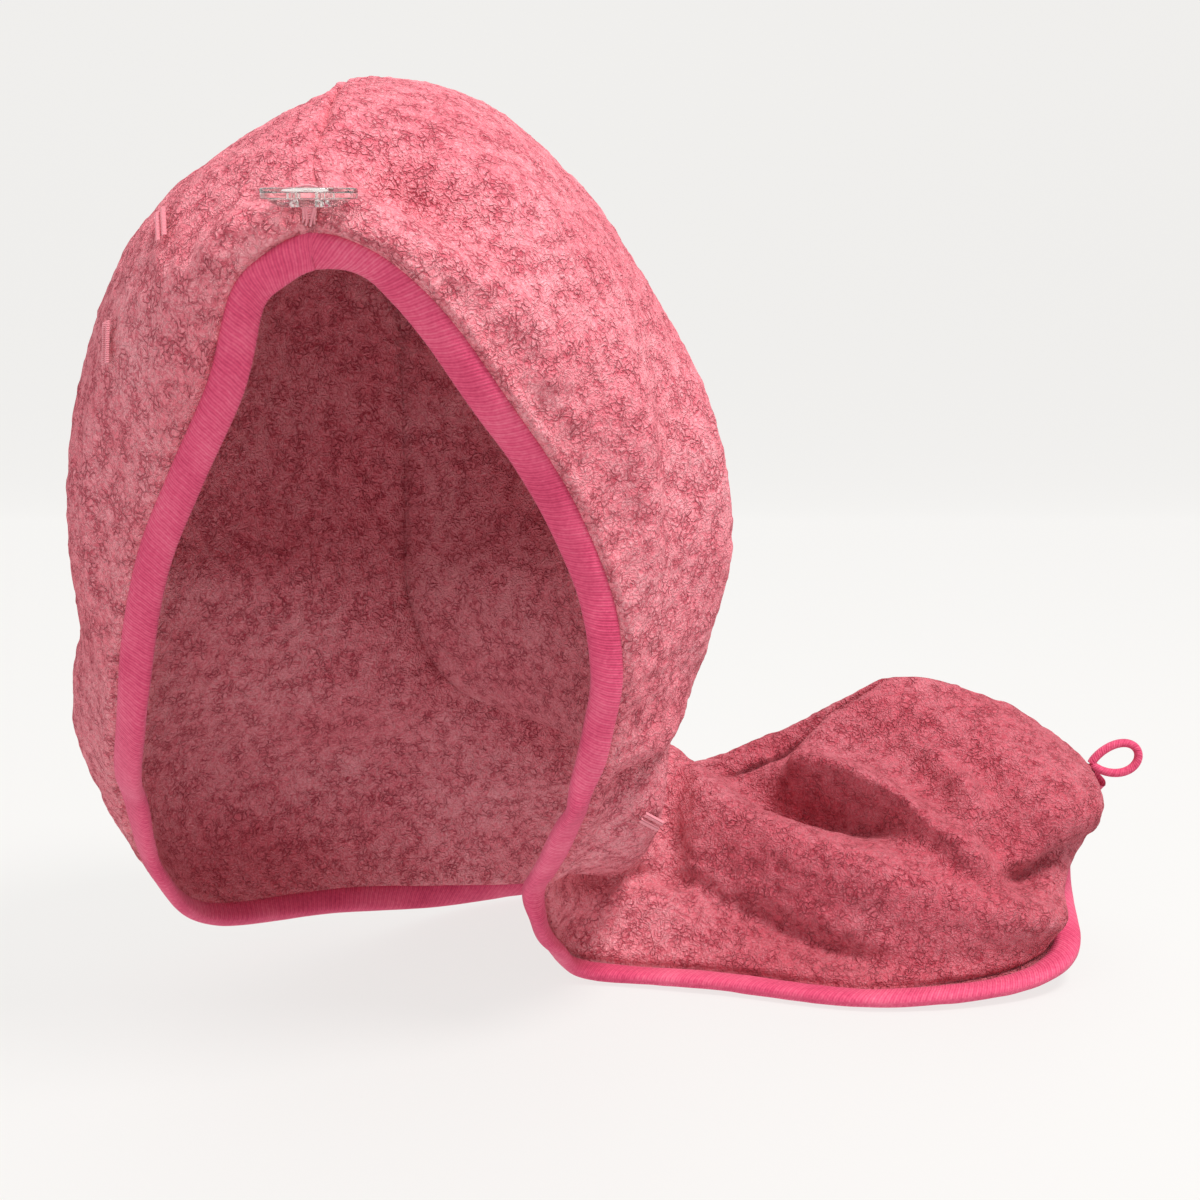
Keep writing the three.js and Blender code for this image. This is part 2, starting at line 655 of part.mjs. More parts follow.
// The loop is a stuffed tube bent into a ring that is open towards the tip of the tail.
function loopGeometry(root, away) {
  const steps = 16;
  const around = 8;
  const upright = vec(0, 0, 1).addScaledVector(away, -away.z).normalize();
  const facing = away.clone().cross(upright);
  const rings = [];
  for (let i = 0; i <= steps; i++) {
    const turn = rad(loopOpening) + ((2 * Math.PI - 2 * rad(loopOpening)) * i) / steps;
    const middle = loopTube / 2;
    const reach = (loopLength - middle) / 2;
    const half = loopWidth / 2 - middle;
    const centre = root
      .clone()
      .addScaledVector(away, reach * (Math.cos(rad(loopOpening)) - Math.cos(turn)))
      .addScaledVector(upright, half * Math.sin(turn));
    const spread = away
      .clone()
      .multiplyScalar(-Math.cos(turn) / reach)
      .addScaledVector(upright, Math.sin(turn) / half)
      .normalize();
    if (i === 0 || i === steps) spread.copy(upright).multiplyScalar(Math.sign(Math.sin(turn)));
    const ring = [];
    for (let j = 0; j < around; j++) {
      const angle = (2 * Math.PI * j) / around;
      ring.push(
        centre
          .clone()
          .addScaledVector(spread, (loopTube / 2) * Math.cos(angle))
          .addScaledVector(facing, (-loopTube / 2) * loopFlatness * Math.sin(angle)),
      );
    }
    rings.push(ring);
  }
  return ringMesh(rings, false);
}

const rightStations = stationsOf(rightPanel);
const leftStations = stationsOf(leftPanel);

const fleece = (name) => {
  const material = new THREE.MeshStandardMaterial({ color: "#d4646f", roughness: 0.95, metalness: 0 });
  material.name = name;
  return material;
};
const tapeFinish = new THREE.MeshStandardMaterial({ color: "#e0507a", roughness: 0.8, metalness: 0 });

const towel = new THREE.Group();

function add(name, geometry, material) {
  const mesh = new THREE.Mesh(geometry, material);
  mesh.name = name;
  towel.add(mesh);
  return mesh;
}

add("right_panel", geometryOf(cutPanel(rightPanel, rightStations, rightSlits)), fleece("fleece"));
add("left_panel", geometryOf(cutPanel(leftPanel, leftStations, leftSlits)), fleece("fleece"));
add("edge_tape", tapeMesh(rightStations, leftStations), tapeFinish);

const button = add(
  "button",
  buttonGeometry(),
  new THREE.MeshStandardMaterial({ color: "#f0eee8", roughness: 0.1, metalness: 0, transparent: true, opacity: 0.4 }),
);
button.rotation.x = rad(-buttonLean);
button.position.set(buttonAside, -buttonForward, -buttonDown);

const footOut = normalOf(rightPanel, (k, t) => smoothCloth(rightPanel, k, t), shankStation, 0).setX(0).normalize();
const foot = carrier(rightPanel, "seam", shankStation).addScaledVector(footOut, seamBulge + shankGap);
const headOut = vec(0, 0, -1).applyEuler(button.rotation);
const head = button.position.clone().addScaledVector(headOut, buttonThickness / 2 + shankGap);
add(
  "button_thread",
  shankGeometry({ place: foot, out: footOut }, { place: head, out: headOut }),
  new THREE.MeshStandardMaterial({ color: "#e9b3b6", roughness: 0.7, metalness: 0 }),
);

const tip = rightStations.at(-1);
const root = tip.stitch.clone().addScaledVector(tip.outward, tapeWidth + 2 * fitGap);
add("hanging_loop", loopGeometry(root, vec(1, -0.12, 0.1).normalize()), tapeFinish.clone());

export default towel;
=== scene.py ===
import math

import bpy
import numpy as np
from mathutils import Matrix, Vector


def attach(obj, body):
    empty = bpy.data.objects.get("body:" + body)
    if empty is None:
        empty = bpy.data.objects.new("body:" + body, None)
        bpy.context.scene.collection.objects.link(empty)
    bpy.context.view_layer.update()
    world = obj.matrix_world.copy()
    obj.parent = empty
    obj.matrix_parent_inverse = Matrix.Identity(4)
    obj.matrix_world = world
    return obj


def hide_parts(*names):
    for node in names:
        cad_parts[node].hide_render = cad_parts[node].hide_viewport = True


# A hair turban towel as it is worn: two panels of plush fleece, a ribbed tape round their free edge, a clear
# button on a thread shank, bound buttonholes and a loop. Lengths in the tables are millimetres or shares of
# the named sizes, and every mesh is made in metres.
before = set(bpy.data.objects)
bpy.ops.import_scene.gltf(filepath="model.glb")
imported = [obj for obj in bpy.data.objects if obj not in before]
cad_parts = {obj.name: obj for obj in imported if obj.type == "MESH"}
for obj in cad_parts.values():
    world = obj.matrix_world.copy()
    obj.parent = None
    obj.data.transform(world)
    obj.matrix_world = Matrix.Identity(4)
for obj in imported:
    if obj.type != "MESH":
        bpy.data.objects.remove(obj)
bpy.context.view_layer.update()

# Panels: two pieces of plush fleece, joined by one seam that runs from the peak of the face opening over the
# crown, down the back of the head and along the ridge of the tail to its tip. Each is cut in one piece and
# worn draped, so it stands in folds. Stations run along the seam, from 0 at the peak to LAST at the tip.
MM = 0.001
CLOTH = 3.4
HEM_CURL = 26  # degrees that the hem turns in round the face
HOOD = {"right": 110, "left": 89, "front": 98, "back": 104, "drop": 260}
CROWN_BACK = 10
TABLE = 284  # the origin's height over the table
TAIL = np.array([249.0, 122.0, 96.0])
LAST = 16
LEAVES_HOOD = 5
ON_TAIL = 6.6

# The worn hood's form, from the crown down: the drop, and the reach to each side, as shares of HOOD.
LEVELS = {
    "drop": [0, 0.018, 0.075, 0.17, 0.31, 0.46, 0.615, 0.77, 0.9, 1],
    "right": [0, 0.3, 0.5, 0.695, 0.875, 1, 1.005, 0.82, 0.66, 0.52],
    "left": [0, 0.1, 0.36, 0.69, 0.885, 0.983, 0.98, 0.97, 0.88, 0.74],
    "front": [0, 0.4, 0.71, 0.93, 0.93, 0.75, 0.62, 0.44, 0.36, 0.3],
    "back": [0, 0.34, 0.62, 0.82, 0.95, 1, 0.98, 0.9, 0.82, 0.72],
}
# The seam: on the hood by levels, negative in front of the crown, and on the tail by shares of TAIL.
SEAM_LEVEL = [-3.13, -2.4, -1.1, 0.5, 2.1, 3.7, 5.1]
SEAM_TAIL = [
    (0.005, 0.91, 1.3),
    (0.054, 0.96, 1.0),
    (0.162, 1, 0.86),
    (0.304, 0.985, 0.85),
    (0.436, 0.96, 0.61),
    (0.563, 0.935, 0.7),
    (0.706, 0.92, 1),
    (0.853, 0.905, 0.93),
    (0.936, 0.9, 0.8),
    (1, 0.9, 0.66),
]
# Columns of the hood's rows: the edge's bearing in degrees and its drop, and the section's sweep. Columns of
# the tail's rows: the middle's x, y and z and the edge's x, y and z.
RIGHT = {
    "name": "right",
    "side": 1,
    "hood": [
        (0, 0.187, 0),
        (12.5, 0.218, 0.15),
        (21.8, 0.275, 0.4),
        (29.3, 0.366, 0.8),
        (35.2, 0.448, 1.4),
        (40.4, 0.544, 2.1),
        (45, 0.635, 2.9),
    ],
    "tail": [
        (0.394, 0.28, 1.4, 0.301, -0.197, 1.094),
        (0.363, 0.36, 1.03, 0.281, -0.115, 0.885),
        (0.328, 0.42, 0.77, 0.247, 0.066, 0.62),
        (0.328, 0.6, 0.6, 0.209, 0.31, 0.34),
        (0.372, 0.72, 0.5, 0.245, 0.51, 0.075),
        (0.5, 0.7, 0.52, 0.441, 0.44, 0.05),
        (0.686, 0.62, 0.62, 0.657, 0.31, 0.05),
        (0.867, 0.55, 0.66, 0.865, 0.425, 0.09),
        (0.97, 0.64, 0.6, 0.927, 0.66, 0.3),
        (1, 0.9, 0.66, 1, 0.9, 0.66),
    ],
    "flat": (9, 11.6),
}
LEFT = {
    "name": "left",
    "side": -1,
    "hood": [
        (0, 0.187, 0),
        (15, 0.235, 0.15),
        (20.5, 0.33, 0.4),
        (29.5, 0.418, 0.8),
        (39, 0.507, 1.4),
        (47, 0.604, 2.1),
        (52.5, 0.695, 2.9),
    ],
    "tail": [
        (-0.343, 0.36, 1.36, -0.304, -0.03, 0.92),
        (-0.353, 0.5, 1.0, -0.316, 0.12, 0.78),
        (-0.304, 0.74, 0.74, -0.31, 0.3, 0.48),
        (-0.186, 0.95, 0.56, -0.262, 0.54, 0.24),
        (0.029, 1.07, 0.48, -0.098, 0.9, 0.17),
        (0.265, 1.12, 0.48, 0.137, 1.2, 0.1),
        (0.51, 1.14, 0.52, 0.431, 1.31, 0.06),
        (0.725, 1.12, 0.54, 0.715, 1.25, 0.06),
        (0.911, 1.0, 0.5, 0.902, 1.07, 0.26),
        (1, 0.9, 0.66, 1, 0.9, 0.66),
    ],
    "flat": (11, 13.3),
}
# Folds: three stations, three shares of the way from seam to edge, the width on the seam's side and on the
# edge's side, height and sag.
RIGHT["folds"] = [
    # the puffed crown, and the cloth pulled up to the button with a ridge below it and a hollow behind it
    ((2, 2.7, 3.3), (0.14, 0.14, 0.12), 20, 20, 1, 0),
    ((0.62, 0.86, 0.98), (0.55, 0.7, 0.82), 3.5, 9, 3.5, 0),
    ((0.95, 1.7, 2.7), (0.83, 0.87, 0.86), 4, 9, 3.5, 0),
    ((1.2, 1.6, 2.2), (0.42, 0.6, 0.76), 15, 7, -13, 0),
    # upright folds beside the face
    ((2.7, 3.1, 3.5), (0.82, 0.87, 0.94), 7, 7, 2.5, 0),
    ((4.15, 4.6, 5.4), (0.79, 0.885, 0.975), 9, 8, 4, 0),
    ((4.5, 5.0, 5.8), (0.74, 0.85, 0.92), 9, 9, -3.5, 0),
    ((4.8, 5.4, 6.6), (0.6, 0.755, 0.81), 10, 9, 3.5, 0),
    ((5.4, 5.95, 6.6), (0.62, 0.7, 0.74), 6, 6, -3, 0),
    # the hood's lower end, the crease under it, the lobe, and the creases round the lobe
    ((7.74, 7.76, 7.72), (0.8, 0.89, 1.0), 4, 9, 4, 0),
    ((8.15, 8.2, 8.1), (0.7, 0.86, 1.0), 7, 4, -9, 0),
    ((8.5, 9.4, 10.7), (0.78, 0.74, 0.62), 15, 13, 12, 0),
    ((9.6, 10.5, 11.4), (1.0, 0.8, 0.72), 4, 7, -9, 0),
    ((10.7, 11.15, 11.5), (0.3, 0.55, 0.72), 6, 6, -8, 0),
    # the tail's low band, the long roll with the crease under it and the pocket above it
    ((10.0, 11.4, 12.5), (0.95, 0.8, 0.91), 5, 9, 4, 0),
    ((10.4, 10.9, 11.6), (0.06, 0.22, 0.42), 8, 9, 7, 0),
    ((11.2, 12.45, 14.0), (0.36, 0.66, 0.88), 11, 15, 14, 0),
    ((11.5, 12.3, 13.1), (0.745, 0.86, 0.97), 4, 8, -9, 0),
    ((11.6, 12.35, 13.0), (0.22, 0.5, 0.6), 8, 5, -15, 0),
    # the second roll with its hollow, the hump's left edge and its ridge, and the hollow beside that ridge
    ((12.3, 13.1, 13.75), (0.3, 0.545, 0.79), 5, 6, 13, 0),
    ((12.8, 13.25, 13.35), (0.26, 0.42, 0.6), 8, 7, -6, 0),
    ((12.38, 12.42, 12.95), (0.33, 0.17, 0.04), 7, 9, 5, 0),
    ((13.05, 13.5, 13.5), (0.3, 0.46, 0.7), 4, 9, 6, 0),
    ((13.4, 13.72, 13.65), (0.36, 0.52, 0.7), 11, 4, -6, 0),
    # the far hump, the hollow under its lower border, and the long roll's far end
    ((13.9, 14.6, 15.3), (0.6, 0.56, 0.5), 16, 8, 7, 0),
    ((13.65, 14.05, 14.7), (0.765, 0.77, 0.72), 4, 8, -12, 0),
    ((13.65, 14.0, 14.45), (0.8, 0.86, 0.92), 4, 9, 5, 0),
]
LEFT["folds"] = [
    ((2.1, 3, 3.7), (0.14, 0.16, 0.14), 20, 20, -4, 0),
    ((0.5, 1.16, 2.4), (0.5, 0.72, 0.79), 5, 7, 5, 0),
    ((0.9, 1.7, 2.6), (0.48, 0.6, 0.66), 9, 6, -3, 0),
    ((4.0, 4.8, 5.9), (0.82, 0.915, 0.975), 6, 6, 3, 0),
    ((4.1, 4.9, 5.8), (0.72, 0.84, 0.92), 7, 7, -3, 0),
]


def smooth(x, low, high):
    t = np.clip((np.asarray(x, float) - low) / (high - low), 0, 1)
    return t * t * (3 - 2 * t)


def between(rows, at):
    """A smooth value between the rows of a table, at places that needn't be whole."""
    rows = np.asarray(rows, float)
    last = len(rows) - 1
    place = np.clip(np.asarray(at, float), 0, last)
    i = np.minimum(place.astype(int), last - 1)
    share = place - i
    before, here, there, beyond = (rows[np.clip(i + n, 0, last)] for n in (-1, 0, 1, 2))
    if rows.ndim > 1:
        share = share[..., None]
    start = (there - before) / 2
    end = (beyond - here) / 2
    jump = there - here
    cubic = start + end - 2 * jump
    return here + share * (start + share * (jump - start - cubic + share * cubic))


def unit(v):
    return v / np.maximum(np.linalg.norm(v, axis=-1, keepdims=True), 1e-9)


fine_levels = np.linspace(0, 9, 4000)
fine_drops = between(LEVELS["drop"], fine_levels)


def hood_point(panel, across, along):
    """A place on the hood's form, by levels counted to the side and to the back of the crown."""
    level = np.hypot(across, along)
    safe = np.maximum(level, 1e-9)
    sine = across / safe
    cosine = np.where(level > 1e-9, along / safe, 1)
    reach = HOOD[panel["name"]] * between(LEVELS[panel["name"]], level)
    front = HOOD["front"] * between(LEVELS["front"], level)
    back = HOOD["back"] * between(LEVELS["back"], level)
    return np.stack(
        [
            panel["side"] * reach * sine,
            CROWN_BACK + np.where(cosine < 0, front, back) * cosine,
            CLOTH - HOOD["drop"] * between(LEVELS["drop"], level),
        ],
        -1,
    )


def hood_section(panel, station, share):
    rows = np.array(panel["hood"], float)
    level = np.interp(between(rows[:, 1], station), fine_drops, fine_levels)
    bearing = np.radians(between(rows[:, 0], station))
    seam_along = between(SEAM_LEVEL, station)
    across = level * np.sin(bearing)
    along = -level * np.cos(bearing) - seam_along
    length = np.maximum(np.hypot(across, along), 1e-9)
    swing = 4 * share * (1 - share) * between(rows[:, 2], station)
    return hood_point(
        panel,
        share * across - swing * along / length,
        seam_along + share * along + swing * across / length,
    )


def tail_point(row):
    return np.array(row) * TAIL - [0, 0, TABLE]


for panel in (RIGHT, LEFT):
    carried = [
        [hood_section(panel, np.array(float(k)), np.array(t)) for t in (0.0, 0.5, 1.0)] for k in range(7)
    ]
    for seam_row, row in zip(SEAM_TAIL, panel["tail"]):
        carried.append([tail_point(seam_row), tail_point(row[:3]), tail_point(row[3:])])
    panel["carriers"] = np.array(carried).reshape(len(carried), 9)


def smooth_cloth(panel, station, share):
    """The cloth before its folds."""
    station, share = np.broadcast_arrays(np.asarray(station, float), np.asarray(share, float))
    held = between(panel["carriers"], station)
    t = share[..., None]
    tail = (
        held[..., :3] * (1 - t) * (1 - 2 * t)
        + held[..., 3:6] * 4 * t * (1 - t)
        + held[..., 6:] * t * (2 * t - 1)
    )
    hood = hood_section(panel, np.minimum(station, 6), share)
    w = smooth(station, LEAVES_HOOD, ON_TAIL)[..., None]
    return hood * (1 - w) + tail * w


def normal_of(panel, surface, station, share):
    """The outward direction of a surface that is a function of station and share."""
    at = np.clip(station, 0.2, LAST - 0.2)
    on = np.clip(share, 0.03, 0.97)
    forward = surface(panel, at + 0.12, on) - surface(panel, at - 0.12, on)
    sideways = surface(panel, at, on + 0.03) - surface(panel, at, on - 0.03)
    return unit(np.cross(sideways, forward) * panel["side"])


def place_folds(panel):
    """Each fold's crest as places in space, fading out towards both of its ends."""
    for stations, shares, seam_width, edge_width, height, sag in panel["folds"]:
        t = np.linspace(0, 1, 13)
        weights = np.stack([(1 - t) * (1 - 2 * t), 4 * t * (1 - t), t * (2 * t - 1)])
        on = np.array(stations) @ weights, np.array(shares) @ weights
        line = smooth_cloth(panel, *on)
        upright = normal_of(panel, smooth_cloth, *on)
        yield line, upright, np.sin(np.pi * (0.12 + 0.76 * t)), seam_width, edge_width, height, sag


for panel in (RIGHT, LEFT):
    panel["placed"] = list(place_folds(panel))


def fold_strength(panel, line, upright, strengths, seam_width, edge_width, place):
    """How far up a fold a place lies: it may fall away faster on one side of its line than on the other."""
    strongest = np.zeros(place.shape[:-1])
    for k in range(len(line) - 1):
        step = line[k + 1] - line[k]
        offset = place - line[k]
        share = np.clip(offset @ step / max(step @ step, 1e-6), 0, 1)
        beside = offset - share[..., None] * step
        edgeward = beside @ unit(np.cross(step, upright[k])) * panel["side"]
        width = seam_width + (edge_width - seam_width) * smooth(edgeward, -1.5, 1.5)
        distance = np.linalg.norm(beside, axis=-1) / width
        strength = strengths[k] + share * (strengths[k + 1] - strengths[k])
        strongest = np.maximum(strongest, strength * np.exp(-(distance**2)))
    return strongest


def cloth(panel, station, share):
    """The outer face of the cloth with its folds."""
    station, share = np.broadcast_arrays(np.asarray(station, float), np.asarray(share, float))
    place = smooth_cloth(panel, station, share)
    normal = normal_of(panel, smooth_cloth, station, share)
    moved = place.copy()
    fade = smooth(station, 0, 0.6) * (1 - smooth(station, LAST - 1.4, LAST - 0.4))
    fade = fade * smooth(share, 0, 0.1) * (1 - 0.75 * smooth(share, 0.9, 1))
    for *fold, height, sag in panel["placed"]:
        strength = fade * fold_strength(panel, *fold, place)
        moved += normal * (strength * height)[..., None]
        moved[..., 2] -= strength * sag
    return moved


def across_seam(station):
    """The direction across the seam, towards the right panel."""
    at = np.clip(station, 0.1, LAST - 0.1)
    tangent = between(RIGHT["carriers"], at + 0.1)[..., :3] - between(RIGHT["carriers"], at - 0.1)[..., :3]
    on_hood = unit(np.stack([0 * at, -tangent[..., 2], tangent[..., 1]], -1))
    w = smooth(station, LEAVES_HOOD, LEAVES_HOOD + 3)[..., None]
    return unit(np.cross(tangent, on_hood * (1 - w) + np.array([0, 0, 1.0]) * w))


def edge_frames(panel, station):
    """The stitch line along the tape, with its outward and its upward direction."""
    side = panel["side"]
    ends = (station <= 0) | (station >= LAST)
    lateral = across_seam(station) * side
    after = cloth(panel, np.minimum(station + 0.1, LAST), 1.0)
    tangent = unit(after - cloth(panel, np.maximum(station - 0.1, 0), 1.0))
    tangent[ends] = lateral[ends] * np.where(station[ends] <= 0, 1, -1)[:, None]
    normal = normal_of(panel, cloth, station, np.ones_like(station))
    normal = unit(normal - tangent * np.sum(normal * tangent, -1, keepdims=True))
    outward = np.cross(tangent, normal) * side
    at_tip = station >= LAST
    at_end = between(RIGHT["carriers"], station[at_tip])[..., :3]
    outward[at_tip] = unit(at_end - between(RIGHT["carriers"], station[at_tip] - 0.3)[..., :3])
    normal[at_tip] = np.cross(outward[at_tip], tangent[at_tip]) * side
    curl = math.radians(HEM_CURL) * smooth(station, 0, 1.5) * (1 - smooth(station, 6, 9))
    outward = outward - normal * np.tan(curl)[:, None]
    level = unit(np.cross(tangent, [0, 0, 1.0]) * side)
    w = (smooth(station, *panel["flat"]) * (1 - 0.6 * smooth(station, 14, 15.4)))[:, None]
    outward = outward * (1 - w) + level * w
    outward = unit(outward - tangent * np.sum(outward * tangent, -1, keepdims=True))
    normal = np.cross(outward, tangent) * side
    stitch = cloth(panel, station, 1.0) - normal * CLOTH / 2
    return stitch, outward, normal


def noise(points, size, seed):
    """Smooth noise from -1 to 1 at places in space, with lumps of the given size."""
    p = points / size + seed * 17.31
    cell = np.floor(p).astype(np.int64)
    f = p - cell
    f = f * f * (3 - 2 * f)
    total = 0
    for dx in (0, 1):
        for dy in (0, 1):
            for dz in (0, 1):
                corner = cell + (dx, dy, dz)
                h = corner[..., 0] * 73856093 ^ corner[..., 1] * 19349663 ^ corner[..., 2] * 83492791
                h = (h ^ (h >> 13)) * 1274126177
                value = ((h ^ (h >> 16)) & 0xFFFF) / 32767.5 - 1
                weight = (
                    (f[..., 0] if dx else 1 - f[..., 0])
                    * (f[..., 1] if dy else 1 - f[..., 1])
                    * (f[..., 2] if dz else 1 - f[..., 2])
                )
                total = total + weight * value
    return total


def linear(hex_colour):
    """A colour written as sRGB, as the linear numbers that materials take."""
    parts = [int(hex_colour[i : i + 2], 16) / 255 for i in (1, 3, 5)]
    return tuple(c / 12.92 if c <= 0.04045 else ((c + 0.055) / 1.055) ** 2.4 for c in parts) + (1,)


def add_node(tree, kind, inputs=None, **settings):
    made = tree.nodes.new(kind)
    for key, value in settings.items():
        setattr(made, key, value)
    for key, value in (inputs or {}).items():
        if isinstance(value, bpy.types.NodeSocket):
            tree.links.new(value, made.inputs[key])
        else:
            made.inputs[key].default_value = value
    return made


def new_material(name):
    material = bpy.data.materials.new(name)
    material.use_nodes = True
    return material, material.node_tree, material.node_tree.nodes["Principled BSDF"]


# Plush microfibre fleece, knitted with a short curly pile. Clumps under a millimetre wide are painted lighter
# as painted highlights, painted shade darkens the creases that wander between them in patches, the tone also
# changes at random, and a soft sheen lightens the cloth where it turns away.
CLUMPS_PER_METRE = 1150.0  # 0.87 mm apart
CURLS_PER_METRE = 1500.0
LOCKS_PER_METRE = 480.0  # groups of clumps 2.1 mm wide, parted by creases
PATCHES_PER_METRE = 190.0
LEANS_PER_METRE = 30.0  # slow changes of tone where the pile leans one way or another
CREASE_HALF_WIDTH = 0.16  # as a share of a lock
WANDER = 0.005  # metres that the noise pushes the pattern about
fleece, tree, shader = new_material("fleece")
place = add_node(tree, "ShaderNodeTexCoord").outputs["Object"]
warp = add_node(tree, "ShaderNodeTexNoise", {"Vector": place, "Scale": 300.0, "Detail": 3.0})
shift = add_node(
    tree, "ShaderNodeVectorMath", {0: warp.outputs["Color"], 1: (0.5, 0.5, 0.5)}, operation="SUBTRACT"
)
shift = add_node(tree, "ShaderNodeVectorMath", {0: shift.outputs[0], "Scale": WANDER}, operation="SCALE")
warped = add_node(tree, "ShaderNodeVectorMath", {0: place, 1: shift.outputs[0]}, operation="ADD").outputs[0]
clumps = add_node(tree, "ShaderNodeTexVoronoi", {"Vector": warped, "Scale": CLUMPS_PER_METRE}, feature="F1")
locks = add_node(
    tree, "ShaderNodeTexVoronoi", {"Vector": warped, "Scale": LOCKS_PER_METRE}, feature="DISTANCE_TO_EDGE"
)
curls = add_node(tree, "ShaderNodeTexNoise", {"Vector": warped, "Scale": CURLS_PER_METRE, "Detail": 2.0})
patches = add_node(
    tree, "ShaderNodeTexNoise", {"Vector": place, "Scale": PATCHES_PER_METRE, "Detail": 4.0, "Roughness": 0.6}
)
leans = add_node(tree, "ShaderNodeTexNoise", {"Vector": place, "Scale": LEANS_PER_METRE, "Detail": 2.0})
domes = add_node(tree, "ShaderNodeMath", {0: 1.0, 1: clumps.outputs["Distance"]}, operation="SUBTRACT")
crease = add_node(
    tree,
    "ShaderNodeMapRange",
    {0: locks.outputs["Distance"], 1: 0.0, 2: CREASE_HALF_WIDTH, 3: 1.0, 4: 0.0},
    interpolation_type="SMOOTHSTEP",
)
parted = add_node(
    tree,
    "ShaderNodeMapRange",
    {0: patches.outputs[0], 1: 0.58, 2: 0.4, 3: 0.0, 4: 1.0},
    interpolation_type="SMOOTHSTEP",
)
crease = add_node(tree, "ShaderNodeMath", {0: crease.outputs[0], 1: parted.outputs[0]}, operation="MULTIPLY")
height = add_node(tree, "ShaderNodeMath", {0: domes.outputs[0], 1: 0.4}, operation="MULTIPLY")
for layer, amount in ((curls, 0.35), (patches, 0.3), (crease, -0.32)):
    height = add_node(
        tree,
        "ShaderNodeMath",
        {0: layer.outputs[0], 1: amount, 2: height.outputs[0]},
        operation="MULTIPLY_ADD",
    )
# painted shade and highlight: the colour follows the pile's height, darker in its creases and lighter on its
# clumps, with random tone from the leans added
tone = add_node(
    tree, "ShaderNodeMath", {0: leans.outputs[0], 1: 0.4, 2: height.outputs[0]}, operation="MULTIPLY_ADD"
)
tone = add_node(tree, "ShaderNodeMath", {0: tone.outputs[0], 1: 0.24}, operation="SUBTRACT")
pile_tone_and_painted_shade = add_node(tree, "ShaderNodeValToRGB", {0: tone.outputs[0]})
stops = pile_tone_and_painted_shade.color_ramp.elements
stops.new(0.4).color = linear("#e67a88")
stops[0].color = linear("#c0485a")
stops[2].position = 0.8
stops[2].color = linear("#fab2ba")
# painted shade: the colour is multiplied darker on the tail, further out along X and lower down
axes = add_node(tree, "ShaderNodeSeparateXYZ", {0: place})
far = add_node(
    tree, "ShaderNodeMapRange", {0: axes.outputs[0], 1: 0.07, 2: 0.125}, interpolation_type="SMOOTHSTEP"
)
low = add_node(
    tree, "ShaderNodeMapRange", {0: axes.outputs[2], 1: -0.165, 2: -0.2}, interpolation_type="SMOOTHSTEP"
)
tail = add_node(tree, "ShaderNodeMath", {0: far.outputs[0], 1: low.outputs[0]}, operation="MULTIPLY")
tail_painted_shade = add_node(
    tree,
    "ShaderNodeMix",
    {0: tail.outputs[0], 6: pile_tone_and_painted_shade.outputs[0], 7: (0.7, 0.5, 0.54, 1)},
    data_type="RGBA",
    blend_type="MULTIPLY",
)
tree.links.new(tail_painted_shade.outputs[2], shader.inputs["Base Color"])
shader.inputs["Roughness"].default_value = 0.95
shader.inputs["Specular IOR Level"].default_value = 0.12
shader.inputs["Sheen Weight"].default_value = 0.3
shader.inputs["Sheen Roughness"].default_value = 0.4
shader.inputs["Sheen Tint"].default_value = linear("#ffa8b0")
bump = add_node(tree, "ShaderNodeBump", {"Height": height.outputs[0], "Strength": 1.0, "Distance": 0.0017})
tree.links.new(bump.outputs[0], shader.inputs["Normal"])


def make_piece(name, points, faces, material, uv=None):
    """A mesh piece from places in millimetres, riding on the towel."""
    mesh = bpy.data.meshes.new(name)
    mesh.from_pydata((np.asarray(points, float) * MM).tolist(), [], [list(map(int, face)) for face in faces])
    if uv is not None:
        layer = mesh.uv_layers.new(name="UVMap")
        index = np.empty(len(mesh.loops), int)
        mesh.loops.foreach_get("vertex_index", index)
        layer.data.foreach_set("uv", np.asarray(uv, float)[index].ravel())
    mesh.materials.append(material)
    mesh.polygons.foreach_set("use_smooth", [True] * len(mesh.polygons))
    mesh.validate()
    mesh.update()
    piece = bpy.data.objects.new(name, mesh)
    bpy.context.collection.objects.link(piece)
    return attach(piece, "root") or piece


def ring_faces(rings, count, closed=False):
    """Faces between rings of places that are each closed on themselves."""
    faces = []
    steps = rings if closed else rings - 1
    r = np.arange(steps)[:, None]
    i = np.arange(count)[None, :]
    here, there = r * count, ((r + 1) % rings) * count
    j = (i + 1) % count
    quads = np.stack([here + i, here + j, there + j, there + i], -1).reshape(-1, 4)
    faces = quads.tolist()
    if not closed:
        faces.append(list(range(count))[::-1])
        faces.append(list(range((rings - 1) * count, rings * count)))
    return faces


def spread(panel, rows):
    """Stations at equal distances along the middle of a panel."""
    fine = np.linspace(0, LAST, 1200)
    line = 0.6 * cloth(panel, fine, 0.5) + 0.4 * cloth(panel, fine, 1.0)
    travelled = np.concatenate([[0], np.cumsum(np.linalg.norm(np.diff(line, axis=0), axis=1))])
    travelled = 0.8 * travelled / travelled[-1] + 0.2 * fine / LAST
    return np.interp(np.linspace(0, 1, rows), travelled, fine)


ROWS = 400  # steps along a panel
COLUMNS = 150  # steps from the seam to the tape on the outer face
INNER_COLUMNS = 44  # and on the inner face
SEAM_DEPTH, SEAM_HALF_WIDTH = 2.4, 2.3  # the pile rounds off into the seam
EDGE_DEPTH, EDGE_HALF_WIDTH = 1.6, 1.1  # and down against the tape
SWELL, SWELL_AT, SWELL_HALF_WIDTH = 0.7, 3.2, 2.6  # and stands up a little beside that
LUMPS = ((0.5, 13.0, 2), (0.45, 5.0, 1), (0.35, 2.4, 3))  # height, size, seed
HEM_REACH, HEM_HALF_WALL = 3, 0.9  # the pressed hem inside the tape


